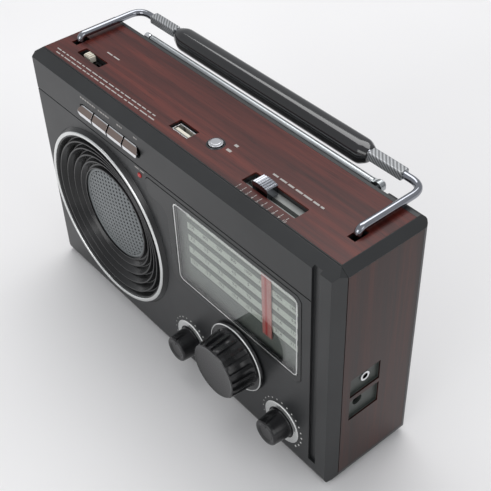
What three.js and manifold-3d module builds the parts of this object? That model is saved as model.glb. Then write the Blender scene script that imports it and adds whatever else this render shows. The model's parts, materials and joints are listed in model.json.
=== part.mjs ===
// Portable multiband radio with a folding bail handle and a telescopic antenna.
// Millimetres. +Z is up, the dial faces -Y and +X is to the right of someone looking at the dial.
// The origin is on the resting plane, under the middle of the folded radio's bounding box.

import * as THREE from 'three';
import { mergeVertices } from 'three/addons/utils/BufferGeometryUtils.js';
import Module from 'manifold-3d';

const wasm = await Module();
wasm.setup();

// ---------- driving dimensions ----------

// cabinet
const HALF_WIDTH = 130;
const HEIGHT = 158;
const FRONT = -30.5;
const SPLIT = -23.2;
const BACK = 30.3;
const WALL = 2.5;
const SEAM = 0.1;
const FACE_HALF_WIDTH = 127;
const FACE_TOP = 153.5;
const FACE_BOTTOM = 5;
const FILM_HALF_WIDTH = 125;
const FILM_FRONT = -22.5;
const FILM_BACK = 25.5;
const FILM = 1;
const SIDE_FILM = 0.8;

// front face
const STEP_LINE_Z = 131.7;
const PILLAR_GROOVE = [114.2, 119.4];
const SPEAKER = { x: -63.8, z: 70, ring: 57, flange: 58.8, opening: 53.6, grille: 30.2, proud: 3.3 };
const TUNING = { x: 57.5, z: 47, skirt: 21.6, grip: 17.3, length: 18.5 };
const TONE = { x: 13, z: 23, length: 12.5 };
const VOLUME = { x: 93, z: 22.7, length: 12.5 };
const KEYS = { first: -77.5, pitch: 14.7, width: 13.2, bottom: 138.5, top: 145.5, travel: 2, count: 4 };
const WINDOW = { left: 0.5, right: 108, bottom: 66.5, top: 129, tabLeft: -17.5, tabBottom: 116 };
const LENS = { left: 6.2, right: 105.5, bottom: 69.5, top: 126, corner: 4 };
const POINTER = { x: 78.8, width: 7.2 };
const LED = { x: -22.8, z: 126, radius: 1.6 };

// top panel
const POWER_SLOT = { left: -106, right: -83.5, front: -11.9, back: -5.2 };
const USB = { x: -3.5, y: -12 };
const MODE = { x: 17.9, y: -7.9, radius: 3.9 };
const BAND_SLOT = { left: 49.2, right: 88, front: -17.1, back: -7.6 };

// side sockets
const SOCKETS = { front: -17.6, back: 3.3, bottom: 48, top: 79.4, divider: 64.4 };
const PHONES = { y: -6.1, z: 73.5 };
const DC_IN = { y: -10.2, z: 57.6 };

// handle
const HANDLE = { arm: 115.5, rod: 2.1, pivotY: 6, pivotZ: 152.2, endY: -3.2, level: 161.4, barY: 41 };
const GRIP = { half: 79, front: 36, back: 49, bottom: 152, top: 165 };

// antenna
const AERIAL = { y: 30.4, z: 156.4, pivot: 96, end: -90, outer: 2.3 };

// battery door
const DOOR = { left: -55, right: 55, bottom: 15, top: 50 };

// ---------- solid helpers ----------

function solid(geometry) {
  const bare = geometry.clone();
  bare.deleteAttribute('normal');
  bare.deleteAttribute('uv');
  const merged = mergeVertices(bare, 1e-4);
  const index = merged.index.array;
  const kept = [];
  for (let i = 0; i < index.length; i += 3) {
    const [a, b, c] = [index[i], index[i + 1], index[i + 2]];
    if (a !== b && b !== c && c !== a) kept.push(a, b, c);
  }
  return new wasm.Manifold(new wasm.Mesh({
    numProp: 3,
    vertProperties: new Float32Array(merged.attributes.position.array),
    triVerts: new Uint32Array(kept),
  }));
}

function geometryOf(body) {
  const mesh = body.getMesh();
  const geometry = new THREE.BufferGeometry();
  const stride = mesh.numProp;
  const count = mesh.vertProperties.length / stride;
  const position = new Float32Array(count * 3);
  for (let i = 0; i < count; i += 1) {
    for (let k = 0; k < 3; k += 1) position[i * 3 + k] = mesh.vertProperties[i * stride + k];
  }
  geometry.setAttribute('position', new THREE.BufferAttribute(position, 3));
  geometry.setIndex(new THREE.BufferAttribute(new Uint32Array(mesh.triVerts), 1));
  geometry.computeVertexNormals();
  return geometry;
}

function box(x0, x1, y0, y1, z0, z1) {
  const geometry = new THREE.BoxGeometry(x1 - x0, y1 - y0, z1 - z0);
  return solid(geometry.translate((x0 + x1) / 2, (y0 + y1) / 2, (z0 + z1) / 2));
}

// cylinders and cones along each axis, from the first end to the second
function rodY(x, z, radius, y0, y1, sides = 32, farRadius = radius) {
  const geometry = new THREE.CylinderGeometry(farRadius, radius, y1 - y0, sides);
  return solid(geometry.translate(x, (y0 + y1) / 2, z));
}

function rodX(y, z, radius, x0, x1, sides = 24, farRadius = radius) {
  const geometry = new THREE.CylinderGeometry(radius, farRadius, x1 - x0, sides);
  return solid(geometry.rotateZ(Math.PI / 2).translate((x0 + x1) / 2, y, z));
}

function rodZ(x, y, radius, z0, z1, sides = 32, topRadius = radius) {
  const geometry = new THREE.CylinderGeometry(topRadius, radius, z1 - z0, sides);
  return solid(geometry.rotateX(Math.PI / 2).translate(x, y, (z0 + z1) / 2));
}

function outline(points) {
  return new THREE.Shape(points.map(([u, v]) => new THREE.Vector2(u, v)));
}

function roundedOutline(u0, u1, v0, v1, radius) {
  const shape = new THREE.Shape();
  shape.moveTo(u0 + radius, v0);
  shape.lineTo(u1 - radius, v0);
  shape.absarc(u1 - radius, v0 + radius, radius, -Math.PI / 2, 0, false);
  shape.lineTo(u1, v1 - radius);
  shape.absarc(u1 - radius, v1 - radius, radius, 0, Math.PI / 2, false);
  shape.lineTo(u0 + radius, v1);
  shape.absarc(u0 + radius, v1 - radius, radius, Math.PI / 2, Math.PI, false);
  shape.lineTo(u0, v0 + radius);
  shape.absarc(u0 + radius, v0 + radius, radius, Math.PI, Math.PI * 1.5, false);
  return shape;
}

function extruded(shape, depth, curveSegments = 5) {
  return new THREE.ExtrudeGeometry(shape, { depth, bevelEnabled: false, curveSegments });
}

// an outline drawn as (x, z), (y, z) or (x, y) and carried along the third axis
function alongY(shape, y0, y1, segments) {
  return solid(extruded(shape, y1 - y0, segments).rotateX(Math.PI / 2).translate(0, y1, 0));
}

function alongX(shape, x0, x1, segments) {
  const turn = new THREE.Matrix4().makeBasis(
    new THREE.Vector3(0, 1, 0),
    new THREE.Vector3(0, 0, 1),
    new THREE.Vector3(1, 0, 0),
  );
  return solid(extruded(shape, x1 - x0, segments).applyMatrix4(turn).translate(x0, 0, 0));
}

function alongZ(shape, z0, z1, segments) {
  return solid(extruded(shape, z1 - z0, segments).translate(0, 0, z0));
}

// a turned piece: the profile is [radius, along] pairs, wound so that its faces point outwards
function lathe(profile, sides) {
  const points = profile.map(([radius, along]) => new THREE.Vector2(radius, along));
  if (THREE.ShapeUtils.area(points) < 0) points.reverse();
  return new THREE.LatheGeometry(points, sides);
}

function turnedY(x, z, profile, sides = 64) {
  return solid(lathe(profile, sides).translate(x, 0, z));
}

function turnedX(y, z, profile, sides = 20) {
  return solid(lathe(profile, sides).rotateZ(-Math.PI / 2).translate(0, y, z));
}

function join(bodies) {
  return bodies.reduce((sum, body) => sum.add(body));
}

function cut(body, tools) {
  return tools.reduce((rest, tool) => rest.subtract(tool), body);
}

// ---------- materials ----------

function finish(color, roughness, metalness) {
  return new THREE.MeshStandardMaterial({ color, roughness, metalness });
}

const blackPlastic = finish(0x1c1d1f, 0.45, 0);
const glossBlack = finish(0x0c0c0e, 0.15, 0);
const woodFilm = finish(0x5a2821, 0.4, 0);
const darkFilm = finish(0x33261f, 0.4, 0);
const chrome = finish(0xd8dade, 0.12, 1);
const silverPlastic = finish(0xc4c8c6, 0.3, 0.4);
const greyPlastic = finish(0x5c605f, 0.5, 0);
const greyMesh = finish(0x4a4d50, 0.5, 0.3);
const dialPrint = finish(0x8f958d, 0.35, 0);
const redPlastic = finish(0xb0282c, 0.3, 0);
const clearPlastic = finish(0xaab2b0, 0.08, 0);
const creamPlastic = finish(0xe6e2d4, 0.5, 0);
const steel = finish(0x9a9da0, 0.35, 0.9);
const boardGreen = finish(0x1f5a38, 0.6, 0);
const ferrite = finish(0x2a2826, 0.7, 0);
const paperCone = finish(0x232323, 0.9, 0);
const cellBlue = finish(0x32589a, 0.4, 0);

const radio = new THREE.Group();

function place(parent, name, body, material) {
  const mesh = new THREE.Mesh(geometryOf(body), material);
  mesh.name = name;
  parent.add(mesh);
  return mesh;
}

// ---------- outer form of the cabinet ----------

// The form is where three outlines meet, which gives mitred edges at every corner.
function bottomArc(centreU, centreV, radius, from, to, steps) {
  const points = [];
  for (let i = 0; i <= steps; i += 1) {
    const angle = from + ((to - from) * i) / steps;
    points.push([centreU + radius * Math.cos(angle), centreV + radius * Math.sin(angle)]);
  }
  return points;
}

const faceOutline = outline([
  ...bottomArc(-HALF_WIDTH + 7, 7, 7, Math.PI, Math.PI * 1.5, 5),
  ...bottomArc(HALF_WIDTH - 7, 7, 7, -Math.PI / 2, 0, 5),
  [HALF_WIDTH, HEIGHT - 4],
  [FILM_HALF_WIDTH, HEIGHT],
  [-FILM_HALF_WIDTH, HEIGHT],
  [-HALF_WIDTH, HEIGHT - 4],
]);

const sideOutline = outline([
  [FRONT, FACE_BOTTOM],
  [FRONT + 0.8, 2.2],
  [FRONT + 2.6, 0.5],
  [FRONT + 5.2, 0],
  ...bottomArc(BACK - 9, 9, 9, -Math.PI / 2, 0, 5),
  ...bottomArc(BACK - 2.5, HEIGHT - 2.5, 2.5, 0, Math.PI / 2, 3),
  [FILM_FRONT, HEIGHT],
  [FRONT, FACE_TOP],
]);

const planOutline = outline([
  [-FACE_HALF_WIDTH, FRONT],
  [FACE_HALF_WIDTH, FRONT],
  [HALF_WIDTH, SPLIT],
  ...bottomArc(HALF_WIDTH - 4, BACK - 4, 4, 0, Math.PI / 2, 4),
  ...bottomArc(-HALF_WIDTH + 4, BACK - 4, 4, Math.PI / 2, Math.PI, 4),
  [-HALF_WIDTH, SPLIT],
]);

const form = alongY(faceOutline, FRONT - 1, BACK + 1)
  .intersect(alongX(sideOutline, -HALF_WIDTH - 1, HALF_WIDTH + 1))
  .intersect(alongZ(planOutline, -1, HEIGHT + 1));

// ---------- front bezel ----------

const innerFace = FRONT + WALL;

function windowOutline(inset) {
  const { left, right, bottom, top, tabLeft, tabBottom } = WINDOW;
  const shape = new THREE.Shape();
  shape.moveTo(left + 4 + inset, bottom + inset);
  shape.lineTo(right - 3, bottom + inset);
  shape.lineTo(right - inset, bottom + 3);
  shape.lineTo(right - inset, top - 3);
  shape.lineTo(right - 3, top - inset);
  shape.lineTo(tabLeft + 2 + inset, top - inset);
  shape.lineTo(tabLeft + inset, top - 2 - inset);
  shape.lineTo(tabLeft + inset, tabBottom + 4);
  shape.lineTo(tabLeft + 4, tabBottom + inset);
  shape.lineTo(left - 4, tabBottom + inset);
  shape.lineTo(left + inset, tabBottom - 4);
  shape.lineTo(left + inset, bottom + 4 + inset);
  return shape;
}

function lensOutline(inset) {
  const { left, right, bottom, top, corner } = LENS;
  return roundedOutline(left + inset, right - inset, bottom + inset, top - inset, corner - inset);
}

function keyLeft(i) {
  return KEYS.first + i * KEYS.pitch;
}

const keysRight = keyLeft(KEYS.count - 1) + KEYS.width;
const keyRecess = roundedOutline(KEYS.first - 0.8, keysRight + 0.8, KEYS.bottom - 0.8, KEYS.top + 0.8, 4.2);

function keyOutline(i, grow) {
  const x0 = keyLeft(i) - grow;
  const x1 = x0 + KEYS.width + 2 * grow;
  const z0 = KEYS.bottom - grow;
  const z1 = KEYS.top + grow;
  const shape = new THREE.Shape();
  const r = 3.3 + grow;
  const roundLeft = i === 0;
  const roundRight = i === KEYS.count - 1;
  shape.moveTo(roundLeft ? x0 + r : x0, z0);
  shape.lineTo(roundRight ? x1 - r : x1, z0);
  if (roundRight) {
    shape.absarc(x1 - r, z0 + r, r, -Math.PI / 2, 0, false);
    shape.absarc(x1 - r, z1 - r, r, 0, Math.PI / 2, false);
  }
  shape.lineTo(roundRight ? x1 - r : x1, z1);
  shape.lineTo(roundLeft ? x0 + r : x0, z1);
  if (roundLeft) {
    shape.absarc(x0 + r, z1 - r, r, Math.PI / 2, Math.PI, false);
    shape.absarc(x0 + r, z0 + r, r, Math.PI, Math.PI * 1.5, false);
  }
  return shape;
}

const frontHalf = form.intersect(box(-140, 140, FRONT - 1, SPLIT - SEAM, -1, HEIGHT + 1));
const frontHollow = box(-FACE_HALF_WIDTH + 3, FACE_HALF_WIDTH - 3, innerFace, SPLIT + 1, 3.5, 151.8);

const bezelCuts = [
  frontHollow,
  box(PILLAR_GROOVE[0], PILLAR_GROOVE[1], FRONT - 1, FRONT + 1.8, 11, HEIGHT),
  box(-FACE_HALF_WIDTH - 1, PILLAR_GROOVE[0] + 1, FRONT - 1, FRONT + 0.5, STEP_LINE_Z, STEP_LINE_Z + 0.7),
  rodY(SPEAKER.x, SPEAKER.z, SPEAKER.opening, FRONT - 1, SPLIT + 2, 48),
  alongY(windowOutline(0), FRONT - 1, FRONT + 1.5),
  alongY(lensOutline(0.9), FRONT - 1, SPLIT + 1),
  alongY(keyRecess, FRONT - 1, FRONT + 0.9),
  rodY(LED.x, LED.z, LED.radius + 0.1, FRONT - 1, SPLIT + 1, 16),
  rodY(TUNING.x, TUNING.z, 4, FRONT - 1, SPLIT + 1, 24),
  rodY(TONE.x, TONE.z, 3.6, FRONT - 1, SPLIT + 1, 20),
  rodY(VOLUME.x, VOLUME.z, 3.6, FRONT - 1, SPLIT + 1, 20),
];
for (let i = 0; i < KEYS.count; i += 1) {
  bezelCuts.push(alongY(keyOutline(i, 0.35), FRONT - 1, SPLIT + 1));
}

// posts behind the face that carry the two front boards and the dial plate
const BOARD_FRONT = -19.5;
const DIAL_FRONT = FRONT + 4.2;
const boardPosts = [[4, 58], [111, 58], [36, 12], [76, 12]];
const keyPosts = [[-81.5, 142], [-16.6, 142]];
const dialPosts = [[3.6, 127.4], [109, 127.4], [3.6, 67.5], [109, 67.5]];
const posts = [
  ...boardPosts.map(([x, z]) => rodY(x, z, 2.4, innerFace - 0.5, BOARD_FRONT - 0.05, 16)),
  ...keyPosts.map(([x, z]) => rodY(x, z, 1.9, innerFace - 0.5, BOARD_FRONT - 2.05, 16)),
  ...dialPosts.map(([x, z]) => rodY(x, z, 1.3, innerFace - 0.5, DIAL_FRONT - 0.05, 12)),
];
place(radio, 'front_bezel', join([cut(frontHalf, bezelCuts), ...posts]), blackPlastic);

// ---------- rear cabinet ----------

const topInside = HEIGHT - FILM - WALL;
const rearHalf = form.intersect(box(-140, 140, SPLIT + SEAM, BACK + 1, -1, HEIGHT + 1));
const rearHollow = box(-HALF_WIDTH + 2.7, HALF_WIDTH - 2.7, SPLIT - 1, BACK - WALL, WALL, topInside);

// The arms swing through slots: long in the wall, shorter in the film over it.
function handleSlots(front, bottom) {
  return [-1, 1].map((side) => box(
    side * HANDLE.arm - 2.6,
    side * HANDLE.arm + 2.6,
    HANDLE.endY - front,
    HANDLE.endY + 5.2,
    bottom,
    HEIGHT + 1,
  ));
}
const sideRecess = [-1, 1].map((side) => {
  const inner = side * (HALF_WIDTH - SIDE_FILM);
  const outer = side * (HALF_WIDTH + 1);
  return box(Math.min(inner, outer), Math.max(inner, outer), SPLIT - 1, 26, 8, HEIGHT - 4.2);
});
const screwSpots = [[-118, 138], [118, 138], [-118, 16], [118, 16]];
const screwBosses = screwSpots.map(([x, z]) => rodY(x, z, 4.2, 12, BACK - WALL + 0.5, 20));
const screwHoles = screwSpots.flatMap(([x, z]) => [
  rodY(x, z, 1.35, 11, BACK + 1, 12),
  rodY(x, z, 3.2, BACK - 1.6, BACK + 1, 16),
]);
const topBosses = [[-110, -16.5], [-40, -15], [36, -15], [94, -15]];
const BOARD_TOP = 143.9;
const aerialTrough = join([
  box(-HALF_WIDTH - 1, AERIAL.pivot + 8, AERIAL.y - 2.7, BACK + 3, AERIAL.z - 2.8, HEIGHT + 1),
  box(AERIAL.pivot - 8, AERIAL.pivot + 8, AERIAL.y - 2.7, BACK + 3, AERIAL.z - 4.6, HEIGHT + 1),
]);
const aerialShelf = box(-HALF_WIDTH + 2, AERIAL.pivot + 10, AERIAL.y - 5, BACK - 1, AERIAL.z - 6.6, topInside + 1);

const saddles = [-1, 1].flatMap((side) => {
  const near = side * (HANDLE.arm - 3.4);
  const far = side * (HANDLE.arm - 9);
  return [box(Math.min(near, far), Math.max(near, far), HANDLE.pivotY - 4.5, HANDLE.pivotY + 4.5,
    HANDLE.pivotZ - 4.2, topInside + 0.5)];
});
const saddleBores = [-1, 1].map((side) => {
  const near = side * (HANDLE.arm - 2);
  const far = side * (HANDLE.arm - 11);
  return rodX(HANDLE.pivotY, HANDLE.pivotZ, HANDLE.rod + 0.35, Math.min(near, far), Math.max(near, far));
});

const cabinet = join([
  cut(rearHalf, [rearHollow]),
  aerialShelf,
  ...screwBosses,
  ...saddles,
  ...topBosses.map(([x, y]) => rodZ(x, y, 2.6, BOARD_TOP + 0.05, topInside + 0.5, 16)),
]);
const cabinetCuts = [
  ...handleSlots(6.6, topInside - 1),
  box(-FILM_HALF_WIDTH, FILM_HALF_WIDTH, FILM_FRONT, FILM_BACK, HEIGHT - FILM, HEIGHT + 1),
  ...sideRecess,
  ...screwHoles,
  ...saddleBores,
  aerialTrough,
  alongZ(roundedOutline(POWER_SLOT.left, POWER_SLOT.right, POWER_SLOT.front, POWER_SLOT.back, 1), 150, 160),
  box(USB.x - 7.9, USB.x + 7.9, USB.y - 4.2, USB.y + 4.2, 150, 160),
  rodZ(MODE.x, MODE.y, MODE.radius + 0.4, 150, 160),
  alongZ(roundedOutline(BAND_SLOT.left, BAND_SLOT.right, BAND_SLOT.front, BAND_SLOT.back, 0.8), 150, 160),
  box(HALF_WIDTH - 4, HALF_WIDTH + 1, SOCKETS.front - 0.1, SOCKETS.back + 0.1, SOCKETS.bottom - 0.1,
    SOCKETS.top + 0.1),
  box(DOOR.left - 0.4, DOOR.right + 0.4, BACK - WALL - 1, BACK + 1, DOOR.bottom - 0.4, DOOR.top + 0.4),
];
place(radio, 'rear_cabinet', cut(cabinet, cabinetCuts), blackPlastic);

screwSpots.forEach(([x, z], i) => {
  const head = rodY(x, z, 2.9, BACK - 1.5, BACK - 0.3, 14);
  const driver = join([
    box(x - 2, x + 2, BACK - 0.9, BACK, z - 0.35, z + 0.35),
    box(x - 0.35, x + 0.35, BACK - 0.9, BACK, z - 2, z + 2),
  ]);
  const shank = rodY(x, z, 1.2, 14, BACK - 1.4, 8);
  place(radio, `screw_${i + 1}`, head.add(shank).subtract(driver), steel);
});

// ---------- wood film panels ----------

const topPanel = box(
  -FILM_HALF_WIDTH + 0.1,
  FILM_HALF_WIDTH - 0.1,
  FILM_FRONT + 0.1,
  FILM_BACK - 0.1,
  HEIGHT - FILM + 0.02,
  HEIGHT,
);
place(radio, 'top_wood_panel', cut(topPanel, [
  ...handleSlots(4.6, topInside),
  alongZ(roundedOutline(POWER_SLOT.left, POWER_SLOT.right, POWER_SLOT.front, POWER_SLOT.back, 1), 150, 160),
  box(USB.x - 7.9, USB.x + 7.9, USB.y - 4.2, USB.y + 4.2, 150, 160),
  rodZ(MODE.x, MODE.y, MODE.radius + 0.4, 150, 160),
  alongZ(roundedOutline(BAND_SLOT.left, BAND_SLOT.right, BAND_SLOT.front, BAND_SLOT.back, 0.8), 150, 160),
]), woodFilm);

function sidePanel(side) {
  const inner = side * (HALF_WIDTH - SIDE_FILM + 0.03);
  const outer = side * HALF_WIDTH;
  return box(Math.min(inner, outer), Math.max(inner, outer), SPLIT + 0.3, 25.9, 8.1, HEIGHT - 4.3);
}
place(radio, 'side_panel_left', sidePanel(-1), darkFilm);
// two windows in the right-hand film, one over each socket's pocket
const pockets = [[SOCKETS.bottom, SOCKETS.divider - 1.4], [SOCKETS.divider + 1.4, SOCKETS.top]];
function pocket(fromX, inset) {
  return pockets.map(([z0, z1]) => box(
    fromX,
    HALF_WIDTH + 1,
    SOCKETS.front + inset,
    SOCKETS.back - inset,
    z0 + inset,
    z1 - inset,
  ));
}
place(radio, 'side_panel_right', cut(sidePanel(1), pocket(HALF_WIDTH - 2, 0)), darkFilm);

// ---------- side sockets ----------

const plateBody = join([
  box(HALF_WIDTH - 3, HALF_WIDTH - 0.9, SOCKETS.front, SOCKETS.back, SOCKETS.bottom, SOCKETS.top),
  box(HALF_WIDTH - 4, HALF_WIDTH - 2.8, SOCKETS.front - 2, SOCKETS.back + 2, SOCKETS.bottom - 2,
    SOCKETS.top + 2),
]);
place(radio, 'socket_plate', cut(plateBody, [
  ...pocket(HALF_WIDTH - 1.9, 0.3),
  rodX(PHONES.y, PHONES.z, 3.2, 120, 131),
  rodX(DC_IN.y, DC_IN.z, 3.2, 120, 131),
]), greyPlastic);

const behindPlate = HALF_WIDTH - 4.1;
const phonesBody = box(112, behindPlate, PHONES.y - 4.5, PHONES.y + 4.5, PHONES.z - 4.5, PHONES.z + 4.5);
place(radio, 'headphone_jack', phonesBody.subtract(rodX(PHONES.y, PHONES.z, 1.8, 113.5, 131)), glossBlack);
place(radio, 'headphone_collar', rodX(PHONES.y, PHONES.z, 3.05, behindPlate + 0.05, HALF_WIDTH - 1.1)
  .subtract(rodX(PHONES.y, PHONES.z, 1.8, 115, 131)), chrome);

const dcBody = box(112, behindPlate, DC_IN.y - 4.5, DC_IN.y + 4.5, DC_IN.z - 5, DC_IN.z + 5);
place(radio, 'dc_jack', dcBody.subtract(rodX(DC_IN.y, DC_IN.z, 2.9, 115, 131))
  .add(rodX(DC_IN.y, DC_IN.z, 1, 114.5, behindPlate - 0.6, 12)), glossBlack);

// ---------- loudspeaker ----------

// the bright ring that caps the flange round the loudspeaker
const rimFront = FRONT - SPEAKER.proud;
place(radio, 'speaker_trim_ring', turnedY(SPEAKER.x, SPEAKER.z, [
  [54.6, rimFront + 1],
  [SPEAKER.ring, rimFront + 1],
  [SPEAKER.ring, rimFront + 0.5],
  [56.4, rimFront],
  [55.2, rimFront],
  [54.6, rimFront + 0.5],
  [54.6, rimFront + 1],
], 48), silverPlastic);

// the flange stands proud of the face, and ridges step inwards from it to the grille like a shallow horn
const RIDGES = 4;
const RIDGE_STEP = 5;
const RIDGE_DROP = 1.65;
const HORN_BACK = FRONT + 6.6;
const hornProfile = [
  [SPEAKER.grille, HORN_BACK],
  [56.5, HORN_BACK],
  [56.5, innerFace + 0.1],
  [53.4, innerFace + 0.1],
  [53.4, FRONT - 0.05],
  [SPEAKER.flange, FRONT - 0.05],
  [SPEAKER.ring + 0.2, rimFront + 1.05],
  [53.6, rimFront + 1.05],
];
for (let i = 0; i < RIDGES; i += 1) {
  const radius = 50.2 - i * RIDGE_STEP;
  const crest = rimFront + 1.1 + i * RIDGE_DROP;
  hornProfile.push([radius + 0.7, crest + 1.9]);
  hornProfile.push([radius + 0.3, crest]);
  hornProfile.push([radius - 0.4, crest]);
}
hornProfile.push([SPEAKER.grille + 1, FRONT + 4.9]);
hornProfile.push([SPEAKER.grille + 0.7, FRONT + 3.2]);
hornProfile.push([SPEAKER.grille, FRONT + 3.2]);
hornProfile.push([SPEAKER.grille, HORN_BACK]);
place(radio, 'speaker_horn', turnedY(SPEAKER.x, SPEAKER.z, hornProfile, 48), blackPlastic);

const GRILLE_BACK = FRONT + 6.2;
place(radio, 'speaker_grille', turnedY(SPEAKER.x, SPEAKER.z, [
  [0, GRILLE_BACK],
  [SPEAKER.grille - 0.2, GRILLE_BACK],
  [SPEAKER.grille - 0.2, GRILLE_BACK - 1.4],
  [24, GRILLE_BACK - 2.1],
  [16, GRILLE_BACK - 2.6],
  [8, GRILLE_BACK - 2.9],
  [0, GRILLE_BACK - 3],
], 48), greyMesh);

const FRAME_FRONT = FRONT + 6.7;
place(radio, 'speaker_frame', turnedY(SPEAKER.x, SPEAKER.z, [
  [40, FRAME_FRONT],
  [47, FRAME_FRONT],
  [47, FRAME_FRONT + 1.5],
  [42.5, FRAME_FRONT + 3],
  [25, FRAME_FRONT + 16],
  [25, FRAME_FRONT + 18],
  [12, FRAME_FRONT + 18],
  [12, FRAME_FRONT + 16.6],
  [23.5, FRAME_FRONT + 14.6],
  [40, FRAME_FRONT + 3],
  [40, FRAME_FRONT],
], 40), steel);
place(radio, 'speaker_cone', turnedY(SPEAKER.x, SPEAKER.z, [
  [0, FRAME_FRONT + 9],
  [7, FRAME_FRONT + 10],
  [11, FRAME_FRONT + 12.6],
  [39.5, FRAME_FRONT + 0.6],
  [39.5, FRAME_FRONT + 1.6],
  [11, FRAME_FRONT + 13.8],
  [7, FRAME_FRONT + 16.4],
  [0, FRAME_FRONT + 16.4],
], 40), paperCone);
place(radio, 'speaker_magnet', rodY(SPEAKER.x, SPEAKER.z, 24, FRAME_FRONT + 18.05, FRAME_FRONT + 26.5, 40), steel);

// ---------- dial window ----------

place(radio, 'window_frame', alongY(windowOutline(0.3), FRONT - 0.2, FRONT + 1.4)
  .subtract(alongY(lensOutline(0), FRONT - 1, FRONT + 3)), glossBlack);
place(radio, 'window_lens', alongY(lensOutline(0.15), FRONT - 0.1, FRONT + 1.4), clearPlastic);
place(radio, 'dial_scale', box(1.5, 110.5, DIAL_FRONT, DIAL_FRONT + 0.9, 66, 128.8), dialPrint);

// ---------- tuning ----------

const pointer = new THREE.Group();
pointer.position.set(POINTER.x, 0, 0);
radio.add(pointer);
place(pointer, 'dial_pointer', join([
  box(-POINTER.width / 2, POINTER.width / 2, DIAL_FRONT - 1.1, DIAL_FRONT - 0.4, 78, 131),
  box(-5, 5, DIAL_FRONT - 1.1, DIAL_FRONT + 2.4, 129.2, 132.4),
]), redPlastic);

function flutedOutline(radius, depth, flutes) {
  const shape = new THREE.Shape();
  for (let i = 0; i < flutes; i += 1) {
    const start = (2 * Math.PI * i) / flutes;
    const step = (2 * Math.PI) / flutes;
    const corners = [[0, radius], [0.45, radius], [0.6, radius - depth], [0.85, radius - depth]];
    corners.forEach(([part, r], k) => {
      const angle = start + part * step;
      if (i === 0 && k === 0) shape.moveTo(r * Math.cos(angle), r * Math.sin(angle));
      else shape.lineTo(r * Math.cos(angle), r * Math.sin(angle));
    });
  }
  return shape;
}

const tuning = new THREE.Group();
tuning.position.set(TUNING.x, FRONT, TUNING.z);
radio.add(tuning);
place(tuning, 'tuning_knob', join([
  rodY(0, 0, TUNING.skirt - 1.4, -3, -0.6, 40, TUNING.skirt),
  alongY(flutedOutline(TUNING.grip, 1.1, 22), -TUNING.length + 0.6, -2.8),
  rodY(0, 0, TUNING.grip - 1.4, -TUNING.length, -TUNING.length + 0.8, 40),
  rodY(0, 0, 3, -1, 6.4, 20),
]), blackPlastic);
place(radio, 'tuning_capacitor', box(
  TUNING.x - 10,
  TUNING.x + 10,
  innerFace + 1,
  BOARD_FRONT - 0.05,
  TUNING.z - 10,
  TUNING.z + 10,
).subtract(rodY(TUNING.x, TUNING.z, 3.4, FRONT, FRONT + 6.8, 24)), creamPlastic);

function smallKnob(length) {
  const body = rodY(0, 0, 8, -length, -0.9, 28, 9.2);
  const ridge = box(-0.6, 0.6, -length - 0.01, -1.2, 6, 9.1);
  const shaft = rodY(0, 0, 2.8, -2, 4.4, 16);
  return join([body, ridge, shaft]);
}

function smallControl(name, spot) {
  const turning = new THREE.Group();
  turning.position.set(spot.x, FRONT, spot.z);
  radio.add(turning);
  place(turning, `${name}_knob`, smallKnob(spot.length), blackPlastic);
  place(radio, `${name}_ring`, turnedY(spot.x, spot.z, [
    [9.9, FRONT - 0.02],
    [13.5, FRONT - 0.02],
    [13.5, FRONT - 0.5],
    [12.8, FRONT - 0.8],
    [9.9, FRONT - 0.8],
    [9.9, FRONT - 0.02],
  ], 28), silverPlastic);
  const bodyFront = innerFace + 0.6;
  place(radio, `${name}_control`, rodY(spot.x, spot.z, 8, bodyFront, BOARD_FRONT - 0.05, 24)
    .subtract(rodY(spot.x, spot.z, 3.2, FRONT, FRONT + 4.8, 16)), steel);
}
smallControl('tone', TONE);
smallControl('volume', VOLUME);

// ---------- piano keys ----------

for (let i = 0; i < KEYS.count; i += 1) {
  const middle = (KEYS.bottom + KEYS.top) / 2;
  const wedge = outline([
    [-1.1, KEYS.bottom - 1],
    [-2.4, middle + 0.4],
    [-2.2, middle + 1.2],
    [-1.1, KEYS.top + 1],
    [6, KEYS.top + 1],
    [6, KEYS.bottom - 1],
  ]);
  const cap = alongY(keyOutline(i, 0), -4, 5.4).intersect(alongX(wedge, -HALF_WIDTH, HALF_WIDTH));
  const flange = box(
    keyLeft(i) - 0.6,
    keyLeft(i) + KEYS.width + 0.6,
    WALL + 0.3,
    WALL + 1.2,
    KEYS.bottom - 1.4,
    KEYS.top + 1.4,
  );
  const key = place(radio, `key_${i + 1}`, cap.add(flange), chrome);
  key.position.set(0, FRONT, 0);
}
const keyBoardFront = BOARD_FRONT - 2;
const keySwitches = [];
for (let i = 0; i < KEYS.count; i += 1) {
  const middle = keyLeft(i) + KEYS.width / 2;
  keySwitches.push(box(middle - 3, middle + 3, keyBoardFront - 0.9, keyBoardFront + 0.2, 139, 145));
}
place(radio, 'key_switch_board', join([
  box(-84, -14, keyBoardFront, keyBoardFront + 1.2, 134, 149),
  ...keySwitches,
]), boardGreen);

// the small red lamp that shows a tuned station
place(radio, 'tuning_led', join([
  rodY(LED.x, LED.z, LED.radius, FRONT - 0.3, innerFace + 0.2, 16),
  rodY(LED.x, LED.z, 1, FRONT - 0.8, FRONT - 0.25, 16, LED.radius),
  rodY(LED.x, LED.z, LED.radius + 0.7, innerFace + 0.05, innerFace + 1, 16),
]), redPlastic);

// ---------- boards and ferrite rod ----------

place(radio, 'main_board', box(2, 113, BOARD_FRONT, BOARD_FRONT + 1.6, 8, 62), boardGreen);
place(radio, 'ferrite_rod', rodX(-12, 98, 4.5, -4, 104, 20), ferrite);
place(radio, 'ferrite_holder', cut(box(40, 52, -18, 0, 62.1, 104.6), [
  rodX(-12, 98, 4.55, 30, 60, 20),
  box(39, 53, -14.5, 1, 61, 90),
]).add(box(40, 52, BOARD_FRONT + 1.65, -14, 55, 66)), greyPlastic);

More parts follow.
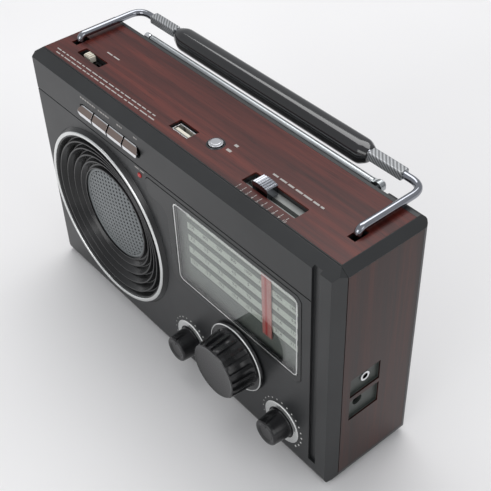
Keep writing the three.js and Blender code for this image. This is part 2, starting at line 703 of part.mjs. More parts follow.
const deck = box(-112.8, 97, -20, -3, BOARD_TOP - 1.6, BOARD_TOP);
const modeSwitch = box(MODE.x - 3, MODE.x + 3, MODE.y - 3, MODE.y + 3, BOARD_TOP - 0.2, BOARD_TOP + 3.6);
place(radio, 'top_board', deck.add(modeSwitch), boardGreen);

// ---------- USB port, mode button and slide controls ----------

const shellTop = HEIGHT - 1.4;
const usbShell = box(USB.x - 6.8, USB.x + 6.8, USB.y - 3.1, USB.y + 3.1, BOARD_TOP + 0.05, shellTop);
place(radio, 'usb_socket', usbShell.subtract(
  box(USB.x - 6.25, USB.x + 6.25, USB.y - 2.55, USB.y + 2.55, BOARD_TOP + 1.2, shellTop + 1),
), chrome);
place(radio, 'usb_tongue', box(
  USB.x - 5.55,
  USB.x + 5.55,
  USB.y - 1.6,
  USB.y + 0.25,
  BOARD_TOP + 1.25,
  shellTop - 0.5,
), creamPlastic);

const button = new THREE.Group();
button.position.set(MODE.x, MODE.y, HEIGHT);
radio.add(button);
place(button, 'mode_button', join([
  rodZ(0, 0, MODE.radius, -4, 0.9, 20),
  rodZ(0, 0, MODE.radius, 0.85, 1.6, 20, MODE.radius - 1.2),
  rodZ(0, 0, MODE.radius + 1.2, -4.8, -3.8, 16),
  rodZ(0, 0, MODE.radius - 1, -8.3, -4.7, 16),
]), chrome);

const bandKnob = new THREE.Group();
bandKnob.position.set(61.8, -12.6, HEIGHT);
radio.add(bandKnob);
const bandGrooves = [-3.6, -1.2, 1.2, 3.6].map((x) => box(x - 0.5, x + 0.5, -5, 5, 3.5, 6));
place(bandKnob, 'band_knob', cut(join([
  box(-5.8, 5.8, -3.5, 3.5, -3, 3.9),
  alongX(outline([[-3.5, 3.8], [3.5, 3.8], [2.4, 4.4], [-2.4, 4.4]]), -5.8, 5.8),
  box(-1.2, 1.2, -0.7, 0.7, -8, -2.5),
]), bandGrooves), chrome);
const bandBody = box(46.5, 91, -18.2, -6.6, BOARD_TOP + 0.05, topInside - 0.1);
place(radio, 'band_switch', bandBody.subtract(
  box(48.5, 88.8, -13.8, -11.4, 149, 156),
), greyPlastic);

const powerKnob = new THREE.Group();
powerKnob.position.set(-97.6, -8.6, HEIGHT);
radio.add(powerKnob);
place(powerKnob, 'power_knob', join([
  box(-3, 3, -2, 2, -3, 0.4),
  box(-2.2, -1.2, -1.8, 1.8, 0.3, 1.2),
  box(-0.5, 0.5, -1.8, 1.8, 0.3, 1.2),
  box(1.2, 2.2, -1.8, 1.8, 0.3, 1.2),
  box(-1, 1, -0.7, 0.7, -8, -2.5),
]), creamPlastic);
const powerBody = box(-107.5, -82, -12.5, -4.6, BOARD_TOP + 0.05, topInside - 0.1);
place(radio, 'power_switch', powerBody.subtract(box(-105.8, -83.7, -9.8, -7.4, 149, 156)), glossBlack);

// ---------- battery ----------

const trayBack = BACK - WALL - 0.1;
const tray = box(DOOR.left - 2, DOOR.right + 2, 6, trayBack, DOOR.bottom - 2, DOOR.top + 2);
place(radio, 'battery_tray', tray.subtract(
  box(DOOR.left, DOOR.right, 7.5, trayBack + 1, DOOR.bottom, DOOR.top),
), blackPlastic);
place(radio, 'battery_pack', box(-48, 48, 7.6, 25, DOOR.bottom + 0.1, DOOR.top - 6), cellBlue);

const door = new THREE.Group();
door.position.set(0, BACK - 1.1, DOOR.bottom + 1.1);
radio.add(door);
const doorHeight = DOOR.top - DOOR.bottom - 1.1;
place(door, 'battery_door', join([
  box(DOOR.left, DOOR.right, -1.1, 1.1, 0, doorHeight),
  rodX(0, 0, 1.1, DOOR.left, DOOR.right, 20),
]).subtract(box(-8, 8, 0.5, 2, doorHeight - 8, doorHeight - 6)), blackPlastic);

// ---------- bail handle ----------

function handlePath() {
  const { arm, pivotY, pivotZ, endY, level, barY } = HANDLE;
  const corners = [
    [-arm + 9.2, pivotY, pivotZ],
    [-arm, pivotY, pivotZ],
    [-arm, endY, pivotZ],
    [-arm, endY, level],
    [-arm, barY, level],
    [arm, barY, level],
    [arm, endY, level],
    [arm, endY, pivotZ],
    [arm, pivotY, pivotZ],
    [arm - 9.2, pivotY, pivotZ],
  ].map(([x, y, z]) => new THREE.Vector3(x, y - pivotY, z - pivotZ));
  const bends = [0, 2.4, 2.4, 3.6, 9, 9, 3.6, 2.4, 2.4, 0];
  const points = [corners[0]];
  for (let i = 1; i < corners.length - 1; i += 1) {
    const before = corners[i - 1].clone().sub(corners[i]).normalize();
    const after = corners[i + 1].clone().sub(corners[i]).normalize();
    const bend = new THREE.QuadraticBezierCurve3(
      corners[i].clone().addScaledVector(before, bends[i]),
      corners[i],
      corners[i].clone().addScaledVector(after, bends[i]),
    );
    points.push(...bend.getPoints(bends[i] > 5 ? 8 : 4));
  }
  points.push(corners[corners.length - 1]);
  return points;
}

// a path that visits the given points in turn, for sweeping a round wire along
class Route extends THREE.Curve {
  constructor(points) {
    super();
    this.points = points;
  }

  getPointAt(part) {
    return this.points[Math.round(part * (this.points.length - 1))].clone();
  }

  getTangentAt(part) {
    const i = Math.round(part * (this.points.length - 1));
    const before = this.points[Math.max(i - 1, 0)];
    const after = this.points[Math.min(i + 1, this.points.length - 1)];
    return after.clone().sub(before).normalize();
  }
}

function wire(points, radius, sides) {
  const circle = new THREE.Shape();
  for (let i = 0; i < sides; i += 1) {
    const angle = (2 * Math.PI * i) / sides;
    if (i === 0) circle.moveTo(radius, 0);
    else circle.lineTo(radius * Math.cos(angle), radius * Math.sin(angle));
  }
  return solid(new THREE.ExtrudeGeometry(circle, {
    steps: points.length - 1,
    extrudePath: new Route(points),
    bevelEnabled: false,
  }));
}

const handle = new THREE.Group();
handle.position.set(0, HANDLE.pivotY, HANDLE.pivotZ);
radio.add(handle);
const barY = HANDLE.barY - HANDLE.pivotY;
const barZ = HANDLE.level - HANDLE.pivotZ;
place(handle, 'handle_rod', wire(handlePath(), HANDLE.rod, 14), chrome);

const gripOutline = roundedOutline(
  GRIP.front - HANDLE.pivotY,
  GRIP.back - HANDLE.pivotY,
  GRIP.bottom - HANDLE.pivotZ,
  GRIP.top - HANDLE.pivotZ,
  4,
);
const rodBore = rodX(barY, barZ, HANDLE.rod + 0.3, -110, 110, 16);
const gripTaper = outline([
  [-GRIP.half, -20],
  [GRIP.half, -20],
  [GRIP.half, barZ + 2.6],
  [GRIP.half - 6, 30],
  [-GRIP.half + 6, 30],
  [-GRIP.half, barZ + 2.6],
]);
place(handle, 'handle_grip', alongX(gripOutline, -GRIP.half, GRIP.half, 4)
  .intersect(alongY(gripTaper, 20, 60))
  .subtract(rodBore), glossBlack);

const sleeveOutline = roundedOutline(barY - 3, barY + 3, barZ - 2.6, barZ + 2.6, 1.6);
for (const [side, name] of [[-1, 'handle_sleeve_left'], [1, 'handle_sleeve_right']]) {
  const near = side * (GRIP.half + 0.3);
  const far = side * (HANDLE.arm - 13);
  const sleeve = alongX(sleeveOutline, Math.min(near, far), Math.max(near, far), 3);
  place(handle, name, sleeve.subtract(rodBore), silverPlastic);
}

// ---------- telescopic antenna ----------

place(radio, 'antenna_pin', join([
  rodY(AERIAL.pivot, AERIAL.z, 1.1, AERIAL.y - 2.65, AERIAL.y + 2.2, 16),
  rodY(AERIAL.pivot, AERIAL.z, 2.1, AERIAL.y + 1.9, AERIAL.y + 2.7, 20),
]), steel);

const aerial = new THREE.Group();
aerial.position.set(AERIAL.pivot, AERIAL.y, AERIAL.z);
radio.add(aerial);
const tubeStart = -6;
const tubeEnd = AERIAL.end - AERIAL.pivot;
place(aerial, 'antenna_knuckle', join([
  rodY(0, 0, 3.1, -1.6, 1.6, 28),
  box(-4.5, 0, -1.6, 1.6, -1.9, 1.9),
  rodX(0, 0, 2.3, tubeStart, -3.6, 20),
]).subtract(rodY(0, 0, 1.35, -4, 4, 16)), chrome);
place(aerial, 'antenna_tube', turnedX(0, 0, [
  [0, tubeStart - 0.05],
  [AERIAL.outer, tubeStart - 0.05],
  [AERIAL.outer, tubeEnd],
  [1.85, tubeEnd],
  [1.85, tubeStart - 1.5],
  [0, tubeStart - 1.5],
]), chrome);
place(aerial, 'antenna_section_2', turnedX(0, 0, [
  [0, tubeStart - 2],
  [1.6, tubeStart - 2],
  [1.6, tubeEnd - 1],
  [1.15, tubeEnd - 1],
  [1.15, tubeStart - 3.5],
  [0, tubeStart - 3.5],
]), chrome);
place(aerial, 'antenna_section_3', turnedX(0, 0, [
  [0, tubeStart - 4],
  [0.9, tubeStart - 4],
  [0.9, tubeEnd - 1.4],
  [2.1, tubeEnd - 1.4],
  [2.3, tubeEnd - 2.2],
  [2.3, tubeEnd - 5.4],
  [1.6, tubeEnd - 6.4],
  [0, tubeEnd - 6.6],
]), chrome);

export default radio;
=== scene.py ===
import json
import math
import random

import bmesh
import bpy
from mathutils import Matrix, Vector


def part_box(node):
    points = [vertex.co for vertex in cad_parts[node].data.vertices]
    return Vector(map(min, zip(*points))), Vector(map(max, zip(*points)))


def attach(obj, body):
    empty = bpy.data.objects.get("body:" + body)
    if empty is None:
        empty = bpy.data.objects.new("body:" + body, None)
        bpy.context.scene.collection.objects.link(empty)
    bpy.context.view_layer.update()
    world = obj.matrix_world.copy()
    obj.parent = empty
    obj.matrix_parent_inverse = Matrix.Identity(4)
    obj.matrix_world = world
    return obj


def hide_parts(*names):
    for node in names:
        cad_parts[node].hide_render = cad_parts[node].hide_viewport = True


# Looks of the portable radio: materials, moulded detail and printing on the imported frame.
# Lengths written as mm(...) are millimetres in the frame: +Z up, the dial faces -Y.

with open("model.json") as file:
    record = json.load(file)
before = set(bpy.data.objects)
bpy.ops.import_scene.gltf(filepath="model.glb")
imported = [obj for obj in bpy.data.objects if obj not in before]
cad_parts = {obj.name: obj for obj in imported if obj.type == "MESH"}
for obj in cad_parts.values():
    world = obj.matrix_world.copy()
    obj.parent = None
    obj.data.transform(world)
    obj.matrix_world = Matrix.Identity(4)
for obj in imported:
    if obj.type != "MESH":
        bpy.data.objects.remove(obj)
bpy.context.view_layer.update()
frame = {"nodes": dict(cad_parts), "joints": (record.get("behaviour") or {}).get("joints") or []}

SCENE = bpy.context.scene
NODES = frame["nodes"]
TAU = 2 * math.pi


def mm(value):
    return value * 0.001


# ---------- camera ----------

VIEW_AZIMUTH = math.radians(51.66)
VIEW_ELEVATION = math.radians(42.31)
VIEW_ROLL = math.radians(-2.41)
VIEW_TARGET = Vector((0.0296, -0.0007, 0.0915))
VIEW_DISTANCE = 0.5462
VIEW_LENS = 72.7


def make_camera():
    data = bpy.data.cameras.new("camera")
    data.lens = VIEW_LENS
    data.sensor_width = 36
    camera = bpy.data.objects.new("camera", data)
    SCENE.collection.objects.link(camera)
    back = Vector((
        math.sin(VIEW_AZIMUTH) * math.cos(VIEW_ELEVATION),
        -math.cos(VIEW_AZIMUTH) * math.cos(VIEW_ELEVATION),
        math.sin(VIEW_ELEVATION),
    ))
    level = Vector((math.cos(VIEW_AZIMUTH), math.sin(VIEW_AZIMUTH), 0))
    rise = back.cross(level)
    right = math.cos(VIEW_ROLL) * level + math.sin(VIEW_ROLL) * rise
    up = back.cross(right)
    turn = Matrix((right, up, back)).transposed()
    camera.matrix_world = Matrix.Translation(VIEW_TARGET + back * VIEW_DISTANCE) @ turn.to_4x4()
    SCENE.camera = camera


make_camera()

# ---------- material building blocks ----------


class Shader:
    """A material's node tree, built from left to right."""

    def __init__(self, name, colour, rough, metal=0.0):
        self.material = bpy.data.materials.new(name)
        self.material.use_nodes = True
        self.tree = self.material.node_tree
        self.surface = self.tree.nodes["Principled BSDF"]
        self.surface.inputs["Base Color"].default_value = (*colour, 1)
        self.surface.inputs["Roughness"].default_value = rough
        self.surface.inputs["Metallic"].default_value = metal

    def node(self, kind, **settings):
        made = self.tree.nodes.new(kind)
        for key, value in settings.items():
            setattr(made, key, value)
        return made

    def link(self, start, end):
        self.tree.links.new(start, end)

    def place(self, scale=(1, 1, 1), turn=(0, 0, 0)):
        """Object coordinates in metres, scaled."""
        coordinates = self.node("ShaderNodeTexCoord")
        mapping = self.node("ShaderNodeMapping")
        mapping.inputs["Scale"].default_value = scale
        mapping.inputs["Rotation"].default_value = turn
        self.link(coordinates.outputs["Object"], mapping.inputs["Vector"])
        return mapping.outputs["Vector"]

    def noise(self, where, scale, detail=4.0, rough=0.55, distortion=0.0):
        made = self.node("ShaderNodeTexNoise")
        made.inputs["Scale"].default_value = scale
        made.inputs["Detail"].default_value = detail
        made.inputs["Roughness"].default_value = rough
        made.inputs["Distortion"].default_value = distortion
        self.link(where, made.inputs["Vector"])
        return made.outputs["Fac"]

    def ramp(self, value, stops):
        made = self.node("ShaderNodeValToRGB")
        band = made.color_ramp
        while len(band.elements) < len(stops):
            band.elements.new(0.5)
        for element, (position, colour) in zip(band.elements, stops):
            element.position = position
            element.color = (*colour, 1)
        self.link(value, made.inputs["Fac"])
        return made.outputs["Color"]

    def spread(self, value, low, high):
        """Stretches a 0 to 1 value to low to high."""
        made = self.node("ShaderNodeMapRange")
        made.inputs["To Min"].default_value = low
        made.inputs["To Max"].default_value = high
        self.link(value, made.inputs["Value"])
        return made.outputs["Result"]

    def mix(self, factor, first, second, blend="MIX"):
        made = self.node("ShaderNodeMix", data_type="RGBA", blend_type=blend)
        for socket, value in zip((made.inputs[0], made.inputs[6], made.inputs[7]), (factor, first, second)):
            if isinstance(value, (int, float)):
                socket.default_value = value
            elif isinstance(value, tuple):
                socket.default_value = (*value, 1)
            else:
                self.link(value, socket)
        return made.outputs[2]

    def bump(self, height, depth, strength=1.0, after=None):
        made = self.node("ShaderNodeBump")
        made.inputs["Strength"].default_value = strength
        made.inputs["Distance"].default_value = depth
        self.link(height, made.inputs["Height"])
        if after is not None:
            self.link(after, made.inputs["Normal"])
        return made.outputs["Normal"]

    def edges(self, radius):
        """The normal with every sharp edge rounded off."""
        made = self.node("ShaderNodeBevel", samples=6)
        made.inputs["Radius"].default_value = radius
        return made.outputs["Normal"]

    def finish(self, colour=None, rough=None, normal=None):
        for socket, value in (("Base Color", colour), ("Roughness", rough), ("Normal", normal)):
            if value is not None:
                self.link(value, self.surface.inputs[socket])
        return self.material


def scaled(colour, factor):
    return tuple(channel * factor for channel in colour)


def moulded(name, colour, rough, grain=2600, depth=0.00001, edge=0.0003, coat=0.0):
    """Moulded plastic: a fine grain, faint mottling, handling marks, and edges rounded in the shading."""
    shader = Shader(name, colour, rough)
    where = shader.place()
    mottle = shader.noise(where, 35, 3)
    tint = shader.ramp(mottle, [(0.3, scaled(colour, 0.86)), (0.7, scaled(colour, 1.14))])
    smear = shader.noise(where, 14, 5, 0.6, 0.8)
    grain_height = shader.noise(where, grain, 2, 0.5)
    rounded = shader.edges(edge)
    shader.surface.inputs["Coat Weight"].default_value = coat
    shader.surface.inputs["Coat Roughness"].default_value = 0.12
    return shader.finish(
        tint,
        shader.spread(smear, rough - 0.07, rough + 0.09),
        shader.bump(grain_height, depth, 0.8, rounded),
    )


def polished(name, colour, rough, metal=1.0, edge=0.0002):
    """Bright plate: wiped smears and hair scratches."""
    shader = Shader(name, colour, rough, metal)
    where = shader.place()
    smear = shader.noise(where, 60, 4, 0.6, 0.5)
    scratch = shader.noise(shader.place((900, 900, 60)), 1, 2)
    tint = shader.ramp(smear, [(0.25, scaled(colour, 0.9)), (0.75, scaled(colour, 1.04))])
    normal = shader.bump(scratch, 0.000002, 0.5, shader.edges(edge))
    return shader.finish(tint, shader.spread(smear, max(rough - 0.03, 0.02), rough + 0.07), normal)


def wood_film(name, dark, middle, light, along, rough=0.3):
    """Printed mahogany film: long streaks, short pores and a satin lacquer."""
    shader = Shader(name, middle, rough)
    fine, stretch = 190, 7
    scale = [fine, fine, fine]
    scale[along] = stretch
    where = shader.place(tuple(scale))
    streak = shader.noise(where, 1.0, 6, 0.62, 0.35)
    wide = [38, 38, 38]
    wide[along] = 2.6
    figure = shader.noise(shader.place(tuple(wide)), 1.0, 3, 0.5, 1.1)
    pore_scale = [1500, 1500, 1500]
    pore_scale[along] = 60
    pores = shader.noise(shader.place(tuple(pore_scale)), 1.0, 2, 0.5)
    ground = shader.ramp(streak, [(0.28, dark), (0.5, middle), (0.72, light)])
    shade = shader.ramp(figure, [(0.3, (0.62, 0.55, 0.55)), (0.7, (1.18, 1.12, 1.1))])
    body = shader.mix(1.0, ground, shade, "MULTIPLY")
    pore_mask = shader.ramp(pores, [(0.33, (0.45, 0.4, 0.4)), (0.42, (1, 1, 1))])
    colour = shader.mix(0.75, body, pore_mask, "MULTIPLY")
    shader.surface.inputs["Specular IOR Level"].default_value = 0.3
    shader.surface.inputs["Coat Weight"].default_value = 0.06
    shader.surface.inputs["Coat Roughness"].default_value = 0.2
    normal = shader.bump(pores, 0.00003, 0.35, shader.bump(streak, 0.00004, 0.3))
    return shader.finish(colour, shader.spread(streak, rough - 0.05, rough + 0.12), normal)


def printed(name, colour, rough=0.5):
    """Screen-printed ink with slightly uneven cover."""
    shader = Shader(name, colour, rough)
    cover = shader.noise(shader.place(), 1800, 3)
    tint = shader.ramp(cover, [(0.2, scaled(colour, 0.72)), (0.6, colour)])
    return shader.finish(tint)


def board_green(name):
    """Solder mask with the paler runs of copper under it."""
    shader = Shader(name, (0.01, 0.09, 0.03), 0.4)
    where = shader.place()
    tracks = shader.node("ShaderNodeTexBrick")
    tracks.inputs["Scale"].default_value = 160
    tracks.inputs["Color1"].default_value = (0.012, 0.12, 0.04, 1)
    tracks.inputs["Color2"].default_value = (0.008, 0.08, 0.03, 1)
    tracks.inputs["Mortar"].default_value = (0.02, 0.17, 0.06, 1)
    shader.link(where, tracks.inputs["Vector"])
    return shader.finish(tracks.outputs["Color"], shader.spread(shader.noise(where, 90), 0.3, 0.5))


def fibrous(name, colour):
    """Pressed paper and woven backing cloth."""
    shader = Shader(name, colour, 0.9)
    fibre = shader.noise(shader.place(), 1600, 5, 0.7)
    tint = shader.ramp(fibre, [(0.3, scaled(colour, 0.6)), (0.7, scaled(colour, 1.4))])
    return shader.finish(tint, None, shader.bump(fibre, 0.00005, 0.7))


def clear_lens(name):
    shader = Shader(name, (0.9, 0.93, 0.92), 0.04)
    shader.surface.inputs["Transmission Weight"].default_value = 1.0
    shader.surface.inputs["IOR"].default_value = 1.12
    shader.surface.inputs["Coat Weight"].default_value = 1.0
    shader.surface.inputs["Coat Roughness"].default_value = 0.03
    dust = shader.noise(shader.place(), 45, 4, 0.6, 0.4)
    return shader.finish(None, shader.spread(dust, 0.02, 0.07))


BLACK = (0.017, 0.018, 0.019)
case = moulded("case_black", BLACK, 0.36)
knob_black = moulded("knob_black", (0.012, 0.012, 0.013), 0.2, 3400, 0.000004, 0.0002)
gloss_black = moulded("gloss_black", (0.008, 0.008, 0.009), 0.1, 900, 0.000002, 0.0003, 0.6)
horn_black = moulded("horn_black", (0.008, 0.0082, 0.0085), 0.24, 2600, 0.000004, 0.00015)
frame_black = moulded("frame_black", (0.014, 0.0148, 0.0155), 0.28, 2200, 0.000004)
switch_grey = moulded("switch_grey", (0.3, 0.31, 0.3), 0.45)
grey_plastic = moulded("grey_plastic", (0.045, 0.052, 0.047), 0.45)
cream_plastic = moulded("cream_plastic", (0.72, 0.68, 0.58), 0.4)
red_plastic = moulded("pointer_red", (0.5, 0.035, 0.035), 0.3)
pink_plastic = moulded("pointer_pink", (0.55, 0.2, 0.18), 0.35)
cell_wrap = moulded("cell_wrap", (0.03, 0.09, 0.3), 0.3)
chrome = polished("chrome", (0.82, 0.83, 0.85), 0.07)
# Painted reflection: chrome made dark to stand in for the dark surroundings the handle wire and band knob
# reflect.
chrome_painted_dark = polished("chrome_painted_dark", (0.3, 0.31, 0.34), 0.06)
satin_chrome = polished("satin_chrome", (0.4, 0.42, 0.43), 0.28)
# Painted reflection: a darker brownish chrome for the keys' upward facets, standing in for the wood they
# reflect.
key_painted_reflection = polished("key_painted_reflection", (0.34, 0.27, 0.24), 0.12)
silver = polished("silver_plated", (0.8, 0.81, 0.8), 0.2, 0.85)
steel = polished("steel", (0.5, 0.51, 0.52), 0.32)
mesh_paint = polished("grille_paint", (0.19, 0.205, 0.21), 0.36, 0.5)
ferrite = moulded("ferrite", (0.02, 0.019, 0.018), 0.6, 900, 0.00004)
top_film = wood_film("top_wood_film", (0.03, 0.004, 0.003), (0.078, 0.011, 0.007), (0.135, 0.022, 0.012), 0)
side_film = wood_film("side_wood_film", (0.012, 0.003, 0.002), (0.034, 0.008, 0.005), (0.07, 0.018, 0.011), 2)
dial_paint = printed("dial_plate", (0.16, 0.172, 0.155), 0.35)
dial_light = printed("dial_row", (0.66, 0.69, 0.62), 0.4)
white_ink = printed("white_ink", (0.78, 0.78, 0.76))
dull_ink = printed("dull_ink", (0.42, 0.4, 0.38))
paper = fibrous("cone_paper", (0.02, 0.02, 0.02))
cloth = fibrous("backing_cloth", (0.01, 0.01, 0.011))
green = board_green("board_green")
lens = clear_lens("lens_acrylic")

NODE_FINISH = {
    case: ["front_bezel", "rear_cabinet", "battery_tray", "battery_door"],
    gloss_black: ["headphone_jack", "dc_jack", "power_switch"],
    frame_black: ["window_frame"],
    switch_grey: ["band_switch"],
    top_film: ["top_wood_panel"],
    side_film: ["side_panel_left", "side_panel_right"],
    grey_plastic: ["socket_plate", "ferrite_holder"],
    chrome: ["headphone_collar", "usb_socket", "mode_button", "antenna_section_3"],
    satin_chrome: ["antenna_knuckle", "antenna_tube", "antenna_section_2"],
    silver: ["tone_ring", "volume_ring"],
    steel: ["screw_1", "screw_2", "screw_3", "screw_4", "speaker_frame", "speaker_magnet", "tone_control",
            "volume_control", "antenna_pin"],
    cream_plastic: ["usb_tongue", "power_knob", "tuning_capacitor"],
    red_plastic: ["tuning_led"],
    cell_wrap: ["battery_pack"],
    ferrite: ["ferrite_rod"],
    paper: ["speaker_cone"],
    green: ["main_board", "top_board", "key_switch_board"],
    dial_paint: ["dial_scale"],
    lens: ["window_lens"],
}


def dress(obj, material):
    obj.data.materials.clear()
    obj.data.materials.append(material)


def shade_by_angle(obj, degrees=35):
    """Smooth faces, with the normals split where they meet sharply."""
    obj.data.shade_smooth()
    limit = math.radians(degrees)
    work = bmesh.new()
    work.from_mesh(obj.data)
    for edge in work.edges:
        edge.smooth = len(edge.link_faces) == 2 and edge.calc_face_angle(0) < limit
    work.to_mesh(obj.data)
    work.free()


for material, names in NODE_FINISH.items():
    for node_name in names:
        dress(NODES[node_name], material)
        shade_by_angle(NODES[node_name])

# ---------- mesh building blocks ----------


def add_piece(name, work, material, body, replaced=(), smooth=35):
    """Turns a bmesh into a piece of the radio that rides on a body."""
    bmesh.ops.recalc_face_normals(work, faces=work.faces)
    mesh = bpy.data.meshes.new(name)
    work.to_mesh(mesh)
    work.free()
    piece = bpy.data.objects.new(name, mesh)
    SCENE.collection.objects.link(piece)
    mesh.materials.append(material)
    if smooth:
        shade_by_angle(piece, smooth)
    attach(piece, body)
    if replaced:
        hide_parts(*replaced)
    return piece


def lathe(work, centre, axis, profile, steps=96, radius_at=None):
    """Turns (radius, along) pairs round a line through centre. A radius of 0 makes a pole."""
    along = Vector(axis).normalized()
    side = along.orthogonal().normalized()
    other = along.cross(side)
    rings = []
    for radius, distance in profile:
        point = Vector(centre) + along * distance
        if radius < 1e-7:
            rings.append([work.verts.new(point)])
            continue
        ring = []
        for i in range(steps):
            angle = TAU * i / steps
            here = radius if radius_at is None else radius_at(radius, distance, angle)
            ring.append(work.verts.new(point + here * (math.cos(angle) * side + math.sin(angle) * other)))
        rings.append(ring)
    for low, high in zip(rings, rings[1:]):
        for i in range(steps):
            k = (i + 1) % steps
            if len(low) == 1 and len(high) == 1:
                continue
            if len(low) == 1:
                work.faces.new((low[0], high[i], high[k]))
            elif len(high) == 1:
                work.faces.new((low[i], low[k], high[0]))
            else:
                work.faces.new((low[i], low[k], high[k], high[i]))


def rounded_profile(points, radius, steps=3):
    """Rounds every inner corner of an open run of (radius, along) points."""
    result = [points[0]]
    for before, here, after in zip(points, points[1:], points[2:]):
        corner = Vector(here)
        back = Vector(before) - corner
        ahead = Vector(after) - corner
        reach = min(radius, back.length * 0.45, ahead.length * 0.45)
        start = corner + back.normalized() * reach
        end = corner + ahead.normalized() * reach
        for i in range(steps + 1):
            t = i / steps
            result.append(tuple(start * (1 - t) ** 2 + corner * 2 * t * (1 - t) + end * t ** 2))
    result.append(points[-1])
    return result


def in_metres(profile):
    return [(mm(radius), mm(along)) for radius, along in profile]


def block(work, low, high):
    bmesh.ops.create_cube(work, size=1, matrix=Matrix.Translation((Vector(low) + Vector(high)) / 2)
                          @ Matrix.Diagonal((*(Vector(high) - Vector(low)), 1)))


def middle_of(node):
    low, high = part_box(node)
    return (Vector(low) + Vector(high)) / 2


# ---------- loudspeaker ----------

RIDGES = 4
RIDGE_STEP = 5.0
RIDGE_DROP = 1.65
GROOVE = 3.6
GRILLE_RADIUS = 30.2
INTO_CASE = (0, 1, 0)


def make_speaker():
    ring_low, ring_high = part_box("speaker_trim_ring")
    centre = middle_of("speaker_trim_ring")
    horn_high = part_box("speaker_horn")[1]
    front = Vector((centre.x, ring_low[1], centre.z))
    ring_radius = (ring_high[0] - ring_low[0]) * 500
    depth = (horn_high[1] - ring_low[1]) * 1000
    flange = (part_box("speaker_horn")[1][0] - centre.x) * 1000

    work = bmesh.new()
    rim = [(54.6, 1.0), (54.6, 0.45), (55.1, 0.05), (55.9, -0.02), (56.6, 0.1), (ring_radius, 0.6),
           (ring_radius, 1.0), (54.6, 1.0)]
    lathe(work, front, INTO_CASE, in_metres(rounded_profile(rim, 0.3)), 160)
    bmesh.ops.remove_doubles(work, verts=work.verts, dist=1e-6)
    add_piece("speaker_ring", work, silver, "cabinet", ["speaker_trim_ring"])

    profile = [(flange, 3.2), (flange - 0.2, 3.0), (ring_radius + 0.1, 1.05), (53.9, 1.05), (53.7, 1.5)]
    for i in range(RIDGES):
        radius = 50.2 - i * RIDGE_STEP
        crest = 1.1 + i * RIDGE_DROP
        floor = min(crest + GROOVE, depth - 0.9)
        profile += [(radius + 1.9, floor), (radius + 1.2, floor)]
        profile += [(radius + 0.42, crest), (radius - 0.42, crest)]
    floor = min(1.1 + RIDGES * RIDGE_DROP + GROOVE, depth - 0.9)
    profile += [(GRILLE_RADIUS + 2.3, floor), (GRILLE_RADIUS + 1.2, floor), (GRILLE_RADIUS + 0.8, 6.5),
                (GRILLE_RADIUS, 6.5)]
    work = bmesh.new()
    outer = rounded_profile(profile, 0.22)
    shell = outer + [(GRILLE_RADIUS, depth), (56.4, depth), (56.4, 3.3), (flange, 3.3)]
    lathe(work, front, INTO_CASE, in_metres(shell + [shell[0]]), 160)
    bmesh.ops.remove_doubles(work, verts=work.verts, dist=1e-6)
    add_piece("speaker_surround", work, horn_black, "cabinet", ["speaker_horn"], 50)
    make_grille(front, depth)


HOLE_ROW = Vector((3.4, 1.1))
HOLE_COLUMN = Vector((0.6, -2.45))
HOLE = 0.78
DOME = 1.7
GRILLE_EDGE_DEPTH = 8.1


def dome_depth(radius):
    """How far behind the ring's front the grille lies, in mm."""
    return GRILLE_EDGE_DEPTH - DOME * (1 - (radius / GRILLE_RADIUS) ** 2)


def make_grille(front, depth):
    """A domed sheet with rows of round holes, a plain rim, and dark cloth behind it."""
    work = bmesh.new()
    corners = 12
    border = [(-3, -3), (-1, -3), (1, -3), (3, -3), (3, -1), (3, 1)]
    border += [(-s, -t) for s, t in border]
    border = [(s / 6, t / 6) for s, t in border]
    reach = 16

    def vertex(x, z):
        return work.verts.new(front + Vector((mm(x), mm(dome_depth(math.hypot(x, z))), mm(z))))

    for row in range(-reach, reach + 1):
        for column in range(-reach, reach + 1):
            centre = row * HOLE_ROW + column * HOLE_COLUMN
            if centre.length > GRILLE_RADIUS - 1.2:
                continue
            inner, outer = [], []
            for s, t in border:
                out = s * HOLE_ROW + t * HOLE_COLUMN
                edge = out.normalized() * HOLE
                outer.append(vertex(centre.x + out.x, centre.y + out.y))
                inner.append(vertex(centre.x + edge.x, centre.y + edge.y))
            for i in range(corners):
                k = (i + 1) % corners
                work.faces.new((outer[i], outer[k], inner[k], inner[i]))
    bmesh.ops.remove_doubles(work, verts=work.verts, dist=1e-5)
    sheet = add_piece("grille_sheet", work, mesh_paint, "cabinet", ["speaker_grille"], 60)
    thick = sheet.modifiers.new("thickness", "SOLIDIFY")
    thick.thickness = mm(0.5)
    thick.offset = 0

    work = bmesh.new()
    edge = GRILLE_RADIUS - 0.05
    rim = [(edge, dome_depth(GRILLE_RADIUS) + 0.8), (edge, dome_depth(29.6) - 0.5),
           (28.6, dome_depth(28.6) - 0.5), (28.2, dome_depth(28.2)), (28.2, dome_depth(28.2) + 0.8)]
    lathe(work, front, INTO_CASE, in_metres(rounded_profile(rim + [rim[0]], 0.2)), 128)
    bmesh.ops.remove_doubles(work, verts=work.verts, dist=1e-6)
    add_piece("grille_rim", work, mesh_paint, "cabinet")

    work = bmesh.new()
    back = [(0, depth - 1.2), (29.4, depth - 0.6), (29.4, depth - 0.2), (0, depth - 0.2)]
    lathe(work, front, INTO_CASE, in_metres(back), 64)
    add_piece("grille_cloth", work, cloth, "cabinet")


make_speaker()

# ---------- knobs ----------

FLUTES = 20


